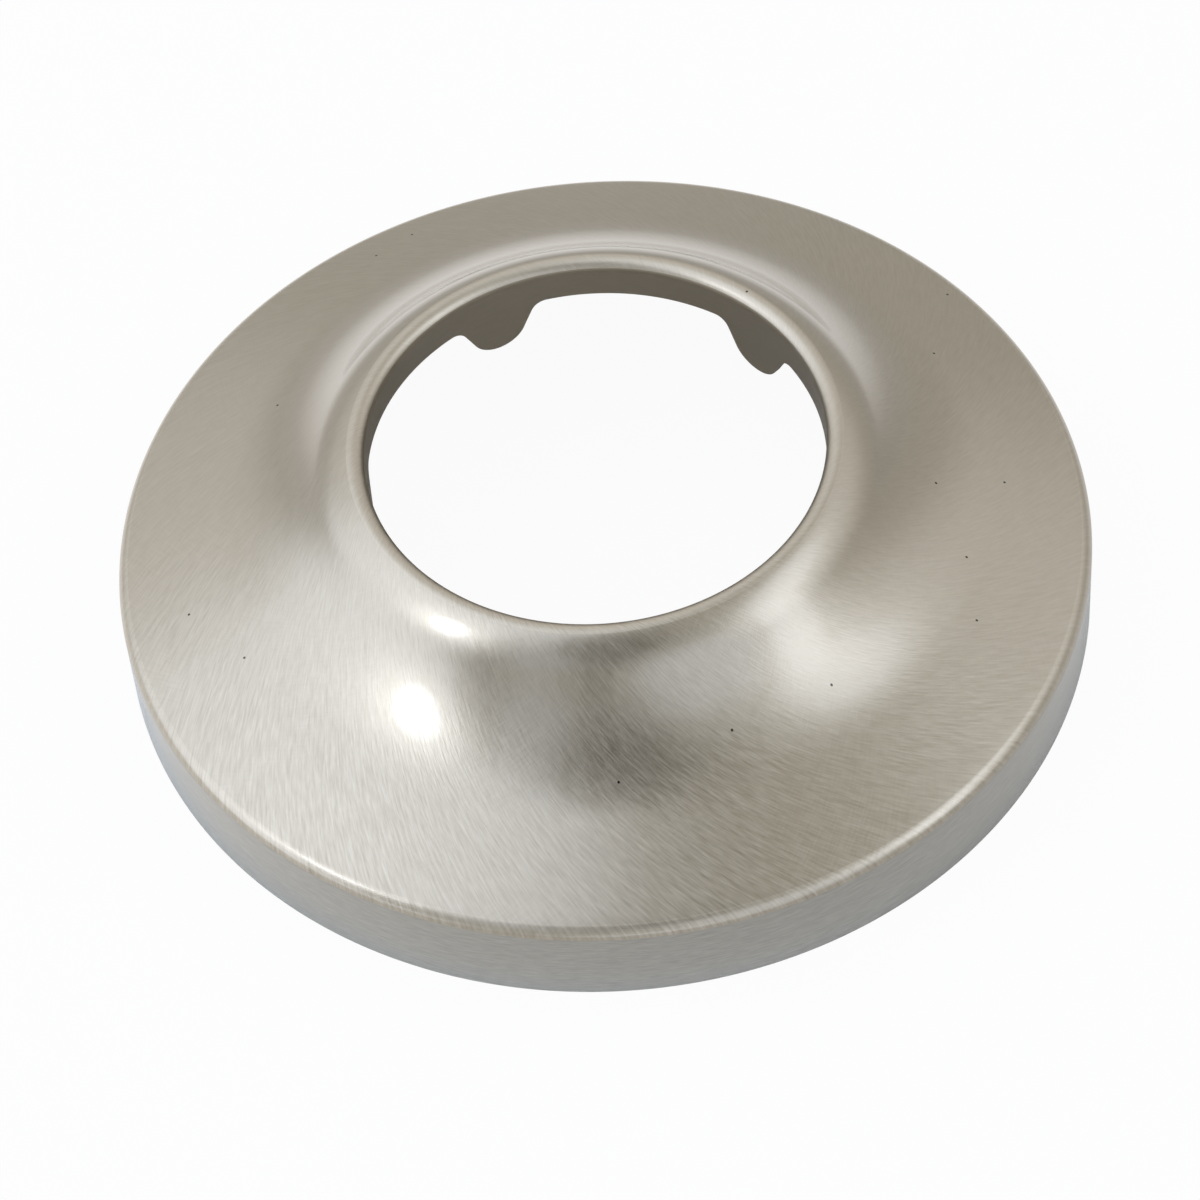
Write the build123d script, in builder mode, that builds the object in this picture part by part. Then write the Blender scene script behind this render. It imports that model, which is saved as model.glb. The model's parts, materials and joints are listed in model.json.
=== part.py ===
"""Pipe escutcheon: a bell drawn from one round of sheet metal, with a collar and grip tabs.

Millimetres. The foot stands on z = 0, the bore runs along Z and the first tab hangs on +Y.
"""
from build123d import *

import os
from math import atan2, cos, degrees, radians, sin, tan

# Sheet and the tube that the collar slides over
sheet = 0.5
tube_diameter = 31.75
tube_clearance = 0.25

# Bell, measured over its outside
outside_diameter = 69.0
total_height = 17.1
skirt_height = 5.75
rim_bend_radius = 1.2
collar_bend_radius = 0.85
shoulder_radius = 7.5
collar_depth = 3.0

# Slopes of the bell's side, in degrees steeper or flatter than its straight fall
crest_easing = 6.0
shoulder_steepening = 17.0
cone_easing = 10.0

# Grip tabs under the collar
tab_count = 5
tab_length = 3.3
tab_end_radius = 2.15
tab_root_radius = 1.25
tab_flare = 27.0
tab_lean = 3.0

# Section points that follow from the sizes above
bore_radius = (tube_diameter + tube_clearance) / 2
rim_radius = outside_diameter / 2
collar_bend_height = total_height - collar_bend_radius
collar_foot = total_height - collar_depth
fall_height = collar_bend_height - skirt_height
fall_width = rim_radius - rim_bend_radius - bore_radius - collar_bend_radius
fall_slope = degrees(atan2(fall_height, fall_width))
crest_slope = fall_slope - crest_easing
steep_slope = fall_slope + shoulder_steepening
cone_slope = fall_slope - cone_easing
throat_turn = steep_slope - cone_slope

# One tab: a leaning ring of the sheet, kept only inside a round-ended tongue that widens to its root
tab_drop = tab_length * cos(radians(tab_lean))
tab_lead = tab_length * sin(radians(tab_lean))
tab_tip = collar_foot - tab_drop
tab_side_rise = tab_drop - (tab_end_radius + tab_root_radius) * (1 - sin(radians(tab_flare)))

with BuildPart() as tab:
    with BuildSketch(Plane.YZ):
        with BuildLine():
            Polyline(
                (bore_radius, collar_foot),
                (bore_radius + sheet, collar_foot),
                (bore_radius + sheet - tab_lead, tab_tip),
                (bore_radius - tab_lead, tab_tip),
                close=True,
            )
        make_face()
    revolve(axis=Axis.Z)
    with BuildSketch(Plane.XZ):
        with BuildLine():
            end = CenterArc((0, tab_tip + tab_end_radius), tab_end_radius, -90, 90 - tab_flare)
            side = PolarLine(end @ 1, tab_side_rise, direction=end % 1, length_mode=LengthMode.VERTICAL)
            root = JernArc(side @ 1, side % 1, tab_root_radius, tab_flare - 90)
            Line(root @ 1, (0, collar_foot))
            mirror(about=Plane.YZ)
        make_face()
    extrude(amount=-(bore_radius + 2 * sheet), mode=Mode.INTERSECT)

# The bell: the outside line of its section, from the foot of the skirt and from the collar, meets
# where the throat's arc runs out into the straight cone. The sheet lies under that line.
with BuildPart() as escutcheon:
    with BuildSketch(Plane.XZ):
        with BuildLine():
            skirt = Line((rim_radius, 0), (rim_radius, skirt_height))
            rim_bend = JernArc(skirt @ 1, skirt % 1, rim_bend_radius, 90 - cone_slope)
            collar = Line((bore_radius, collar_foot), (bore_radius, collar_bend_height))
            collar_bend = JernArc(collar @ 1, collar % 1, collar_bend_radius, -(90 + crest_slope))
            shoulder = JernArc(
                collar_bend @ 1, collar_bend % 1, shoulder_radius, crest_slope - steep_slope
            )
            above_cone = (shoulder @ 1 - rim_bend @ 1).dot(Vector(1, 0).rotate(Axis.Z, 90 - cone_slope))
            throat_reach = above_cone / sin(radians(throat_turn))
            throat_radius = throat_reach / tan(radians(throat_turn / 2))
            throat = JernArc(shoulder @ 1, shoulder % 1, throat_radius, throat_turn)
            Line(throat @ 1, rim_bend @ 1)
            offset(amount=sheet, side=Side.LEFT)
        make_face()
    revolve(axis=Axis.Z)
    with PolarLocations(radius=0, count=tab_count):
        add(tab.part)

escutcheon.part.label = "escutcheon"

os.makedirs("parts", exist_ok=True)
export_step(escutcheon.part, "parts/escutcheon.step")
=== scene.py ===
"""Looks of the pipe escutcheon: brushed nickel under clear lacquer on one drawn sheet, in a plain studio.

Metres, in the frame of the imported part: the foot stands on z = 0 and the bore runs along Z.
"""

import json
from math import asin, atan2, cos, log, pi, radians, sin, sqrt, tan

import bpy
import numpy as np
from mathutils import Matrix, Vector


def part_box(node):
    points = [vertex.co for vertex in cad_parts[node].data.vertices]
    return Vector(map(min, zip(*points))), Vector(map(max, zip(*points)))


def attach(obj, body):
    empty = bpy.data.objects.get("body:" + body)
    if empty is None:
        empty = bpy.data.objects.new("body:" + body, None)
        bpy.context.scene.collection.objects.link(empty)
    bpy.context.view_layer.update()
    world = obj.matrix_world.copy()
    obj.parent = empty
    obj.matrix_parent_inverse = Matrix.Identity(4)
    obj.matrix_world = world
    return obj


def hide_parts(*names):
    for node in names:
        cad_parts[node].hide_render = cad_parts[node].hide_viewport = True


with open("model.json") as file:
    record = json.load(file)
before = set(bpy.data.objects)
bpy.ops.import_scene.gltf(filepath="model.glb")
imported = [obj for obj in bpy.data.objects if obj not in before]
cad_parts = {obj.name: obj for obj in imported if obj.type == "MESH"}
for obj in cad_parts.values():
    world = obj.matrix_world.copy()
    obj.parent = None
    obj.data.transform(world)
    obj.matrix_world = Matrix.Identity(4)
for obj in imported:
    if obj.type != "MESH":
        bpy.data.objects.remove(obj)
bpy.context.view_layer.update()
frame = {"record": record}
MM = 0.001

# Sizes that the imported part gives
part_low, part_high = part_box("escutcheon")
tube_bore = next(mount for mount in frame["record"]["mounts"] if mount["name"] == "tube_bore")
rim_radius = (part_high.x - part_low.x) / 2
total_height = part_high.z
bore_radius = tube_bore["dims"]["r_mm"] * MM

# Sheet and the bends of the bell, measured over its outside
sheet = 0.5 * MM
skirt_height = 5.75 * MM
rim_bend_radius = 1.2 * MM
collar_bend_radius = 0.85 * MM
shoulder_radius = 7.5 * MM
collar_depth = 3.0 * MM

# Slopes of the bell's side, steeper or flatter than its straight fall from crest to rim
crest_easing = radians(6.0)
shoulder_steepening = radians(17.0)
cone_easing = radians(10.0)

# Grip tabs under the collar, the first on +Y
tab_count = 5
tab_length = 3.3 * MM
tab_end_radius = 2.15 * MM
tab_root_radius = 1.25 * MM
tab_flare = radians(27.0)
tab_lean = radians(3.0)

# Section points and slopes that follow from the sizes above
collar_foot = total_height - collar_depth
collar_bend_height = total_height - collar_bend_radius
collar_bend_middle = bore_radius + collar_bend_radius
rim_bend_middle = rim_radius - rim_bend_radius
fall_slope = atan2(collar_bend_height - skirt_height, rim_bend_middle - collar_bend_middle)
crest_slope = fall_slope - crest_easing
steep_slope = fall_slope + shoulder_steepening
cone_slope = fall_slope - cone_easing
tab_tip = collar_foot - tab_length * cos(tab_lean)

# Steps of the mesh along each stretch of the section and of a tab's outline
skirt_steps = 8
rim_bend_steps = 14
cone_steps = 10
throat_steps = 20
shoulder_steps = 12
collar_bend_steps = 16
collar_steps = 12
plain_steps = 44
tab_end_steps = 14
tab_side_steps = 4
tab_root_steps = 8

# Edges sharper than this, which are the sheet's cut edges, are shaded as edges
crease_angle = radians(40.0)


def straight(start, end, steps):
    """Points from start to end, with start left out."""
    shares = np.linspace(0, 1, steps + 1)[1:]
    return [tuple(a + (b - a) * share for a, b in zip(start, end)) for share in shares]


def bend(middle, radius, first_tilt, last_tilt, steps):
    """Section points on an arc. A tilt is the angle of the sheet's outward normal from upright."""
    tilts = np.linspace(first_tilt, last_tilt, steps + 1)
    return [(middle[0] + radius * sin(tilt), middle[1] + radius * cos(tilt)) for tilt in tilts]


def bell_line(depth):
    """The bell's section, depth under its outside, as (radius, height) from the foot to the collar."""
    rim_bend = bend(
        (rim_bend_middle, skirt_height), rim_bend_radius - depth, pi / 2, cone_slope, rim_bend_steps
    )
    collar_bend = bend(
        (collar_bend_middle, collar_bend_height),
        collar_bend_radius - depth, crest_slope, -pi / 2, collar_bend_steps,
    )
    shoulder_middle = (
        collar_bend_middle + (collar_bend_radius - shoulder_radius) * sin(crest_slope),
        collar_bend_height + (collar_bend_radius - shoulder_radius) * cos(crest_slope),
    )
    shoulder = bend(shoulder_middle, shoulder_radius - depth, steep_slope, crest_slope, shoulder_steps)
    shoulder_end = bend(shoulder_middle, shoulder_radius, steep_slope, crest_slope, 1)[0]
    cone_foot = bend((rim_bend_middle, skirt_height), rim_bend_radius, pi / 2, cone_slope, 1)[-1]
    above_cone = (
        (shoulder_end[0] - cone_foot[0]) * sin(cone_slope)
        + (shoulder_end[1] - cone_foot[1]) * cos(cone_slope)
    )
    throat_turn = steep_slope - cone_slope
    throat_radius = above_cone / sin(throat_turn) / tan(throat_turn / 2)
    throat_middle = (
        shoulder_end[0] + throat_radius * sin(steep_slope),
        shoulder_end[1] + throat_radius * cos(steep_slope),
    )
    throat = bend(throat_middle, -throat_radius - depth, cone_slope, steep_slope, throat_steps)
    foot = (rim_radius - depth, 0.0)
    line = [foot, *straight(foot, rim_bend[0], skirt_steps), *rim_bend[1:]]
    line += [*straight(rim_bend[-1], throat[0], cone_steps), *throat[1:], *shoulder[1:], *collar_bend[1:]]
    return line


def tab_outline():
    """Lower edge of the collar across one tab, as (sideways, height) from its left to its right."""
    right = [
        (tab_end_radius * sin(turn), tab_tip + tab_end_radius * (1 - cos(turn)))
        for turn in np.linspace(0, pi / 2 - tab_flare, tab_end_steps + 1)
    ]
    root_start = collar_foot - tab_root_radius * (1 - sin(tab_flare))
    side_end = right[-1][0] + (root_start - right[-1][1]) * tan(tab_flare)
    right += straight(right[-1], (side_end, root_start), tab_side_steps)
    root_middle = side_end + tab_root_radius * cos(tab_flare)
    right += [
        (root_middle - tab_root_radius * cos(turn), collar_foot - tab_root_radius * (1 - sin(turn)))
        for turn in np.linspace(tab_flare, pi / 2, tab_root_steps + 1)[1:]
    ]
    left = [(-sideways, height) for sideways, height in reversed(right[1:])]
    return left + right


def collar_columns(depth):
    """Per column of the mesh: its angle on the bell, and the angle and height of the collar's low edge."""
    columns = []
    outline = tab_outline()
    tab_reach = asin(outline[-1][0] / bore_radius)
    pitch = 2 * pi / tab_count
    for tab in range(tab_count):
        middle = pi / 2 + tab * pitch
        for share, (sideways, height) in zip(np.linspace(-1, 1, len(outline)), reversed(outline)):
            edge_radius = collar_radius(height) + depth
            columns.append((middle + share * tab_reach, middle - asin(sideways / edge_radius), height))
        plain = np.linspace(middle + tab_reach, middle + pitch - tab_reach, plain_steps + 1)[1:-1]
        columns += [(angle, angle, collar_foot) for angle in plain]
    return columns


def collar_radius(height):
    """Radius of the collar's bore side, which leans in with the tabs below the collar's foot."""
    return bore_radius - max(0.0, collar_foot - height) * tan(tab_lean)


def ring(line_point, columns):
    """One row of the bell, at a point of its section."""
    radius, height = line_point
    return [(radius * cos(angle), radius * sin(angle), height) for angle, _, _ in columns]


def collar_ring(share, depth, columns):
    """One row of the collar and its tabs, at a share of the way from the collar bend to the lower edge."""
    points = []
    for angle, edge_angle, edge_height in columns:
        height = collar_bend_height + share * (edge_height - collar_bend_height)
        turned = angle + share * (edge_angle - angle)
        radius = collar_radius(height) + depth
        points.append((radius * cos(turned), radius * sin(turned), height))
    return points


def drawn_sheet():
    """The whole sheet as rows of one closed mesh, and the rows at which its finish changes.

    The rows run up the outside of the bell, down the bore side of the collar and back along the underside.
    The skirt's finish reaches a quarter of the way round the rim bend, and the bore's finish starts a
    quarter before the end of the collar bend.
    """
    bore_side = collar_columns(0.0)
    hidden_side = collar_columns(sheet)
    collar_shares = np.linspace(0, 1, collar_steps + 1)
    outside = [ring(point, bore_side) for point in bell_line(0.0)]
    collar = [collar_ring(share, 0.0, bore_side) for share in collar_shares[1:]]
    collar_back = [collar_ring(share, sheet, hidden_side) for share in reversed(collar_shares[1:])]
    underside = [ring(point, bore_side) for point in reversed(bell_line(sheet))]
    rim_row = skirt_steps + rim_bend_steps // 4
    dish_row = skirt_steps + rim_bend_steps
    crest_row = len(outside) - 1 - collar_bend_steps
    bore_row = len(outside) - 1 - collar_bend_steps // 4
    return outside + collar + collar_back + underside, (rim_row, dish_row, crest_row, bore_row)


def linear(hex_colour):
    """An sRGB hex colour as linear RGBA."""
    channels = [int(hex_colour[place:place + 2], 16) / 255 for place in (1, 3, 5)]
    return [c / 12.92 if c <= 0.04045 else ((c + 0.055) / 1.055) ** 2.4 for c in channels] + [1.0]


def add_node(material, kind, settings=None, **links):
    """Adds a node. Settings are its properties; links are its inputs, as values or as other outputs.

    An input goes by its name, with _ for a space, or by its number after a _ where names repeat.
    """
    tree = material.node_tree
    node = tree.nodes.new(kind)
    for name, value in (settings or {}).items():
        setattr(node, name, value)
    for name, value in links.items():
        socket = node.inputs[int(name[1:])] if name[1:].isdigit() else node.inputs[name.replace("_", " ")]
        if isinstance(value, bpy.types.NodeSocket):
            tree.links.new(value, socket)
        else:
            socket.default_value = value
    return node


def new_material(name):
    material = bpy.data.materials.new(name)
    material.use_nodes = True
    material.node_tree.nodes.clear()
    return material


# Brushing: short strokes that lean from the radial line as they run outwards, crossed here and there by a
# second set.
# The strokes show stronger on the side that faces the camera: in their colour this is a painted glint where
# the lamps fall, and their relief and roughness follow it. Real strokes are a few hundredths of a
# millimetre wide and are drawn coarser, so that they show in the picture.
stroke_lean = radians(44.0)
crossing_lean = radians(-50.0)
stroke_width = 0.12 * MM
stroke_length = 1.2 * MM
stroke_radius = 25.0 * MM
stroke_depth = 0.015 * MM
crossing_patch = 9.0 * MM
most_crossing = 0.35
# Side and reach of the painted glint: the strokes' colour contrast is strongest towards this side
glint_side = radians(-15.0)
glint_reach = 25.0 * MM
faintest_strokes = 0.4
roughness_spread = 0.04

# Levels of the noise between which the crossing sets in, the colour changes and the roughness changes
crossing_levels = (0.4, 0.7)
colour_levels = (0.25, 0.75)
roughness_levels = (0.3, 0.7)
mean_level = 0.5

# Pits in the plate: a few dark dots, one in some of the cells of a wide grid
pit_spacing = 6.0 * MM
pit_radius = 0.09 * MM
pit_share = 0.32
pit_colour = "#4A453C"


def satin_nickel(name, strokes, crossing, pitted, dark, light, roughness, coat, coat_roughness):
    """Nickel plate, brushed and clear lacquered: warm grey, soft highlights, a thin sharp gloss on top."""
    material = new_material(name)
    drawn = [
        add_node(
            material, "ShaderNodeTexNoise", Scale=1.0, Detail=2.0, Roughness=0.6,
            Vector=add_node(material, "ShaderNodeAttribute", {"attribute_name": places}).outputs["Vector"],
        ).outputs["Fac"]
        for places in (strokes, crossing)
    ]
    plan = add_node(material, "ShaderNodeTexCoord").outputs["Object"]
    patches = add_node(material, "ShaderNodeTexNoise", Vector=plan, Scale=1 / crossing_patch, Detail=1.0)
    crossed = add_node(
        material, "ShaderNodeMapRange", Value=patches.outputs["Fac"],
        From_Min=crossing_levels[0], From_Max=crossing_levels[1], To_Min=0.0, To_Max=most_crossing,
    )
    both = add_node(material, "ShaderNodeMix", _0=crossed.outputs["Result"], _2=drawn[0], _3=drawn[1])
    # Painted glint: the strokes' colour contrast grows towards the camera's side
    side = add_node(
        material, "ShaderNodeVectorMath", {"operation": "DOT_PRODUCT"},
        _0=plan, _1=towards(glint_side, 0.0),
    )
    glint_strength = add_node(
        material, "ShaderNodeMapRange", Value=side.outputs["Value"],
        From_Min=0.0, From_Max=glint_reach, To_Min=faintest_strokes, To_Max=1.0,
    )
    grain = add_node(
        material, "ShaderNodeMix", _0=glint_strength.outputs["Result"], _2=mean_level, _3=both.outputs[0]
    ).outputs[0]
    level = add_node(
        material, "ShaderNodeMapRange",
        Value=grain, From_Min=colour_levels[0], From_Max=colour_levels[1],
    )
    colour = add_node(
        material, "ShaderNodeMix", {"data_type": "RGBA"},
        _0=level.outputs["Result"], _6=linear(dark), _7=linear(light),
    ).outputs[2]
    if pitted:
        grid = add_node(
            material, "ShaderNodeTexVoronoi", {"voronoi_dimensions": "2D"},
            Vector=plan, Scale=1 / pit_spacing,
        )
        near = add_node(
            material, "ShaderNodeMath", {"operation": "LESS_THAN"},
            _0=grid.outputs["Distance"], _1=pit_radius / pit_spacing,
        )
        chosen = add_node(
            material, "ShaderNodeMath", {"operation": "LESS_THAN"}, _0=grid.outputs["Color"], _1=pit_share
        )
        pit = add_node(
            material, "ShaderNodeMath", {"operation": "MULTIPLY"}, _0=near.outputs[0], _1=chosen.outputs[0]
        )
        colour = add_node(
            material, "ShaderNodeMix", {"data_type": "RGBA"},
            _0=pit.outputs[0], _6=colour, _7=linear(pit_colour),
        ).outputs[2]
    rough = add_node(
        material, "ShaderNodeMapRange",
        Value=grain, From_Min=roughness_levels[0], From_Max=roughness_levels[1],
        To_Min=roughness - roughness_spread, To_Max=roughness + roughness_spread,
    )
    relief = add_node(material, "ShaderNodeBump", Strength=1.0, Distance=stroke_depth, Height=grain)
    metal = add_node(
        material, "ShaderNodeBsdfPrincipled",
        Base_Color=colour, Metallic=1.0, Roughness=rough.outputs["Result"],
        Normal=relief.outputs["Normal"], Coat_Weight=coat, Coat_Roughness=coat_roughness,
    )
    add_node(material, "ShaderNodeOutputMaterial", Surface=metal.outputs["BSDF"])
    return material


def brushing(points, lean):
    """Places on the dish along and across the strokes, where noise of scale 1 draws a stroke per unit."""
    places = []
    across = stroke_radius * cos(lean) / stroke_width
    along = stroke_radius / (stroke_length * cos(lean))
    for x, y, _ in points:
        reach = log(sqrt(x * x + y * y) / stroke_radius)
        spiral = atan2(y, x) - tan(lean) * reach
        places.append((across * cos(spiral), across * sin(spiral), along * reach))
    return places


def lining(points):
    """Places on the skirt and the inside, where the strokes run round the bell."""
    return [(x / stroke_length, y / stroke_length, z / stroke_width) for x, y, z in points]


def make_escutcheon():
    rows, finish_rows = drawn_sheet()
    columns = len(rows[0])
    points = [point for row in rows for point in row]
    faces = []
    finish = []
    for row in range(len(rows)):
        below = row * columns
        above = (row + 1) % len(rows) * columns
        kind = sum(row >= first for first in finish_rows)
        for column in range(columns):
            beside = (column + 1) % columns
            faces.append((below + column, below + beside, above + beside, above + column))
            finish.append(kind)
    mesh = bpy.data.meshes.new("escutcheon_sheet")
    mesh.from_pydata(points, [], faces)
    strokes = {
        "brushing": brushing(points, stroke_lean),
        "crossing": brushing(points, crossing_lean),
        "lining": lining(points),
    }
    for name, places in strokes.items():
        mesh.attributes.new(name, "FLOAT_VECTOR", "POINT").data.foreach_set("vector", np.ravel(places))
    lined = ("lining", "lining", False)
    brushed = ("brushing", "crossing", True)
    finishes = [
        # Skirt, lined along the rim: a plainer, more neutral grey
        satin_nickel(
            "nickel_lined_skirt", *lined, dark="#BAB7B0", light="#D5D2CA",
            roughness=0.4, coat=1.0, coat_roughness=0.05,
        ),
        # Rim bend, a little duller than the dish and lighter in colour: the lighter colour is a painted
        # highlight, a light line with soft edges
        satin_nickel(
            "nickel_brushed_rim", *brushed, dark="#C3B8A6", light="#E7DDCD",
            roughness=0.39, coat=0.8, coat_roughness=0.1,
        ),
        # Dish, brushed across: the warm grey that shows soft lamps with a sharp core
        satin_nickel(
            "nickel_brushed_dish", *brushed, dark="#BEB3A1", light="#DDD3C3",
            roughness=0.33, coat=1.0, coat_roughness=0.03,
        ),
        # Crest, the dullest of the outside: a lighter grey with no sharp lines
        satin_nickel(
            "nickel_brushed_crest", *brushed, dark="#C3B8A6", light="#E7DDCD",
            roughness=0.42, coat=0.6, coat_roughness=0.3,
        ),
        # Bore and underside, plated as drawn and hardly lacquered: a dull, browner grey, whose darker tone
        # is painted shade in the bore and under the bell
        satin_nickel(
            "nickel_dull_inside_painted_shade", *lined, dark="#AC9F8B", light="#BFB29E",
            roughness=0.5, coat=0.3, coat_roughness=0.2,
        ),
    ]
    for material in finishes:
        mesh.materials.append(material)
    mesh.polygons.foreach_set("material_index", finish)
    mesh.polygons.foreach_set("use_smooth", [True] * len(faces))
    mesh.set_sharp_from_angle(angle=crease_angle)
    piece = bpy.data.objects.new("escutcheon_bell", mesh)
    bpy.context.scene.collection.objects.link(piece)
    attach(piece, "root")
    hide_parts("escutcheon")


# Camera: where the photograph was taken from, in the part's frame
camera_heading = radians(-112.8)
camera_height = radians(51.45)
camera_distance = 332.5 * MM
camera_roll = radians(-5.05)
camera_lens = 138.66
camera_near = 10.0 * MM
aim_right = -0.569 * MM
aim_up = -0.702 * MM


def towards(azimuth, elevation):
    """Direction from the part, with the azimuth counted to the right of the camera's side."""
    turn = camera_heading + azimuth
    return Vector((cos(elevation) * cos(turn), cos(elevation) * sin(turn), sin(elevation)))


def make_camera():
    back = towards(0.0, camera_height)
    level = Vector((0, 0, 1)).cross(back).normalized()
    upright = back.cross(level)
    right = cos(camera_roll) * level + sin(camera_roll) * upright
    up = back.cross(right)
    place = back * camera_distance
    aim = right * aim_right + up * aim_up
    look = (place - aim).normalized()
    side = up.cross(look).normalized()
    turned = Matrix((side, look.cross(side), look)).transposed().to_4x4()
    data = bpy.data.cameras.new("camera")
    data.lens = camera_lens
    data.clip_start = camera_near
    camera = bpy.data.objects.new("camera", data)
    camera.matrix_world = Matrix.Translation(place) @ turned
    bpy.context.scene.collection.objects.link(camera)
    bpy.context.scene.camera = camera


# Floor: white paper a hair under the foot. The camera sees it almost white. The metal sees a painted glow
# on it, which fades with distance and is painted darker towards one side as a painted shade, from a little
# way off the foot, where the paper keeps its own shade.
floor_half = 1.5
floor_gap = 0.02 * MM
paper_colour = "#F2F2F2"
floor_colour = "#FFFFFF"
floor_lift = 0.95
foot_shade = 2.0 * MM
near_floor_white = 0.95
far_floor_white = 0.42
far_floor_reach = 3.5 * rim_radius
shaded_side = radians(25.0)
shaded_floor_share = 0.5


def make_floor():
    material = new_material("white_paper_floor")
    place = add_node(material, "ShaderNodeTexCoord").outputs["Object"]
    reach = add_node(material, "ShaderNodeVectorMath", {"operation": "LENGTH"}, _0=place).outputs["Value"]
    ray = add_node(material, "ShaderNodeLightPath")
    seen = add_node(
        material, "ShaderNodeMath", {"operation": "MULTIPLY"},
        _0=ray.outputs["Is Camera Ray"], _1=floor_lift,
    )
    paper = add_node(material, "ShaderNodeBsdfDiffuse", Color=linear(paper_colour))
    white = add_node(material, "ShaderNodeEmission", Color=linear(floor_colour), Strength=1.0)
    shown = add_node(
        material, "ShaderNodeMixShader",
        _0=seen.outputs[0], _1=paper.outputs["BSDF"], _2=white.outputs["Emission"],
    )
    mirrored = add_node(
        material, "ShaderNodeMath", {"operation": "MAXIMUM"},
        _0=ray.outputs["Is Glossy Ray"], _1=ray.outputs["Is Transmission Ray"],
    )
    clear_of_foot = add_node(
        material, "ShaderNodeMapRange", {"interpolation_type": "SMOOTHSTEP"},
        Value=reach, From_Min=rim_radius, From_Max=rim_radius + foot_shade,
    )
    open_floor = add_node(
        material, "ShaderNodeMath", {"operation": "MULTIPLY"},
        _0=mirrored.outputs[0], _1=clear_of_foot.outputs["Result"],
    )
    # Painted light and shade on the floor that the metal sees: brighter near the foot, darker far off and
    # towards one side
    fading = add_node(
        material, "ShaderNodeMapRange", {"interpolation_type": "SMOOTHSTEP"}, Value=reach,
        From_Min=rim_radius, From_Max=far_floor_reach, To_Min=near_floor_white, To_Max=far_floor_white,
    )
    way = add_node(material, "ShaderNodeVectorMath", {"operation": "NORMALIZE"}, _0=place)
    facing = add_node(
        material, "ShaderNodeVectorMath", {"operation": "DOT_PRODUCT"},
        _0=way.outputs["Vector"], _1=towards(shaded_side, 0.0),
    )
    share = add_node(
        material, "ShaderNodeMapRange", Value=facing.outputs["Value"],
        From_Min=-1.0, From_Max=1.0, To_Min=1.0, To_Max=shaded_floor_share,
    )
    strength = add_node(
        material, "ShaderNodeMath", {"operation": "MULTIPLY"},
        _0=fading.outputs["Result"], _1=share.outputs["Result"],
    )
    glow = add_node(
        material, "ShaderNodeEmission", Color=linear(floor_colour), Strength=strength.outputs[0]
    )
    surface = add_node(
        material, "ShaderNodeMixShader",
        _0=open_floor.outputs[0], _1=shown.outputs["Shader"], _2=glow.outputs["Emission"],
    )
    add_node(material, "ShaderNodeOutputMaterial", Surface=surface.outputs["Shader"])
    mesh = bpy.data.meshes.new("floor")
    corners = [(-1, -1), (1, -1), (1, 1), (-1, 1)]
    mesh.from_pydata([(x * floor_half, y * floor_half, -floor_gap) for x, y in corners], [], [(0, 1, 2, 3)])
    mesh.materials.append(material)
    floor = bpy.data.objects.new("floor", mesh)
    bpy.context.scene.collection.objects.link(floor)


# Studio: pale bluish lamps, a warm room, a neutral wall and dark felt
lamp_colour = "#E9F2FF"
room_colour = "#FFFEF5"
wall_colour = "#F7F8F9"
felt_colour = "#3A3731"
room_brightness = 0.4


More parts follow.
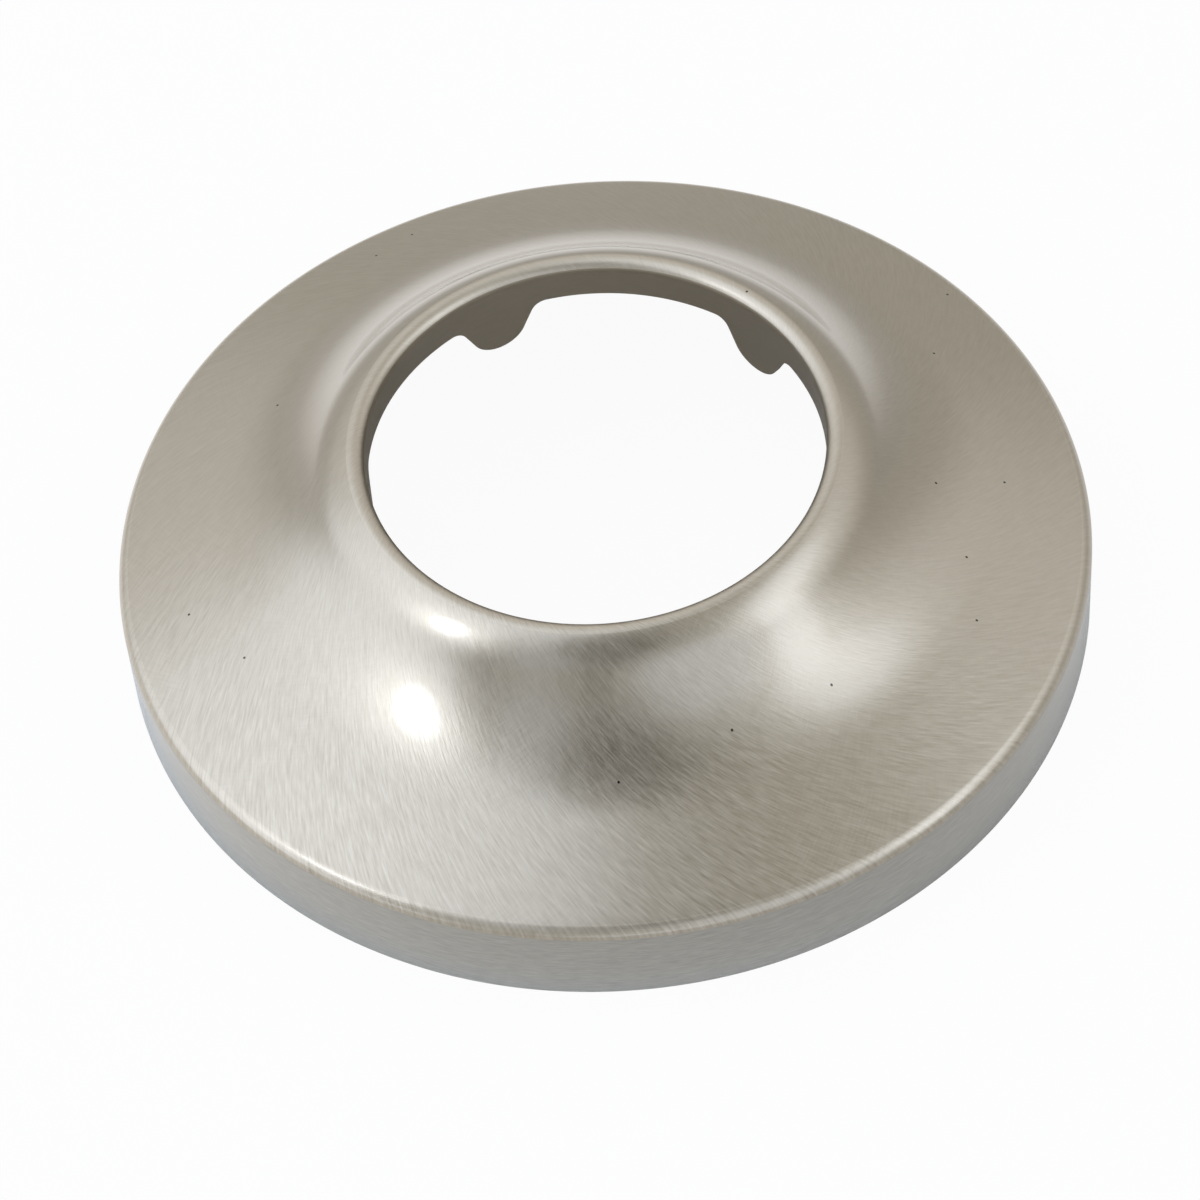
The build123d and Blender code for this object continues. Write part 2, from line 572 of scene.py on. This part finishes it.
def card(name, azimuth, elevation, width, height, colour, brightness, core, distance=0.9):
    """A soft-edged round card that faces the part, a light or dark felt. Angles are in degrees.

    Width and height are the angles that it fills. It fades from a share of its reach, the core, to its
    edge. A nearer card covers those behind it.
    """
    material = new_material(name)
    place = add_node(material, "ShaderNodeTexCoord").outputs["Object"]
    reach = add_node(material, "ShaderNodeVectorMath", {"operation": "LENGTH"}, _0=place)
    cover = add_node(
        material, "ShaderNodeMapRange", {"interpolation_type": "SMOOTHSTEP"},
        Value=reach.outputs["Value"], From_Min=core, From_Max=1.0, To_Min=1.0, To_Max=0.0,
    )
    clear = add_node(material, "ShaderNodeBsdfTransparent")
    face = add_node(material, "ShaderNodeEmission", Color=linear(colour), Strength=brightness)
    surface = add_node(
        material, "ShaderNodeMixShader",
        _0=cover.outputs["Result"], _1=clear.outputs["BSDF"], _2=face.outputs["Emission"],
    )
    add_node(material, "ShaderNodeOutputMaterial", Surface=surface.outputs["Shader"])
    mesh = bpy.data.meshes.new(name)
    mesh.from_pydata([(-1, -1, 0), (1, -1, 0), (1, 1, 0), (-1, 1, 0)], [], [(0, 1, 2, 3)])
    mesh.materials.append(material)
    piece = bpy.data.objects.new(name, mesh)
    way = towards(radians(azimuth), radians(elevation))
    piece.location = way * distance
    piece.rotation_euler = way.to_track_quat("Z", "Y").to_euler()
    piece.scale = (distance * tan(radians(width) / 2), distance * tan(radians(height) / 2), 1.0)
    piece.visible_camera = False
    piece.visible_shadow = False
    bpy.context.scene.collection.objects.link(piece)


def make_studio():
    world = bpy.data.worlds.new("studio")
    bpy.context.scene.world = world
    world.use_nodes = True
    background = world.node_tree.nodes["Background"]
    background.inputs["Color"].default_value = linear(room_colour)
    background.inputs["Strength"].default_value = room_brightness
    # Azimuth, elevation, width, height, colour, brightness, core and, for the nearer cards, distance
    card("left_light", -93, 40, 88, 100, lamp_colour, 1.35, 0.5)
    card("back_wall", 180, 40, 80, 56, wall_colour, 0.75, 0.3)
    card("left_wall", -140, 24, 64, 46, wall_colour, 0.7, 0.3)
    card("left_lamp", -67, 42, 13, 20, lamp_colour, 5.4, 0.75, 0.8)
    card("overhead_light", -98, 77, 70, 38, lamp_colour, 1.25, 0.5, 0.85)
    card("right_light", 98, 36, 100, 54, wall_colour, 0.75, 0.3)
    card("right_panel", 76, 43, 42, 28, lamp_colour, 1.8, 0.45, 0.85)
    card("right_lamp", 63, 26, 20, 44, lamp_colour, 2.3, 0.5, 0.8)
    card("low_left_light", -66, 6, 90, 12, lamp_colour, 1.9, 0.5, 0.78)
    card("low_front_light", 8, 6, 66, 12, lamp_colour, 1.4, 0.5, 0.78)
    card("left_window", -27, 40, 20, 34, lamp_colour, 0.7, 0.6, 0.78)
    card("right_window", 29, 28, 46, 42, lamp_colour, 0.9, 0.7)
    card("top_felt", -1, 59, 32, 38, felt_colour, 1.0, 0.6, 0.7)
    card("side_felt", -47, 36, 15, 60, felt_colour, 1.0, 0.4, 0.7)
    card("front_post", -6, 34, 10, 26, felt_colour, 1.0, 0.7, 0.7)
    bpy.context.scene.view_settings.view_transform = "Standard"


make_escutcheon()
make_floor()
make_studio()
make_camera()
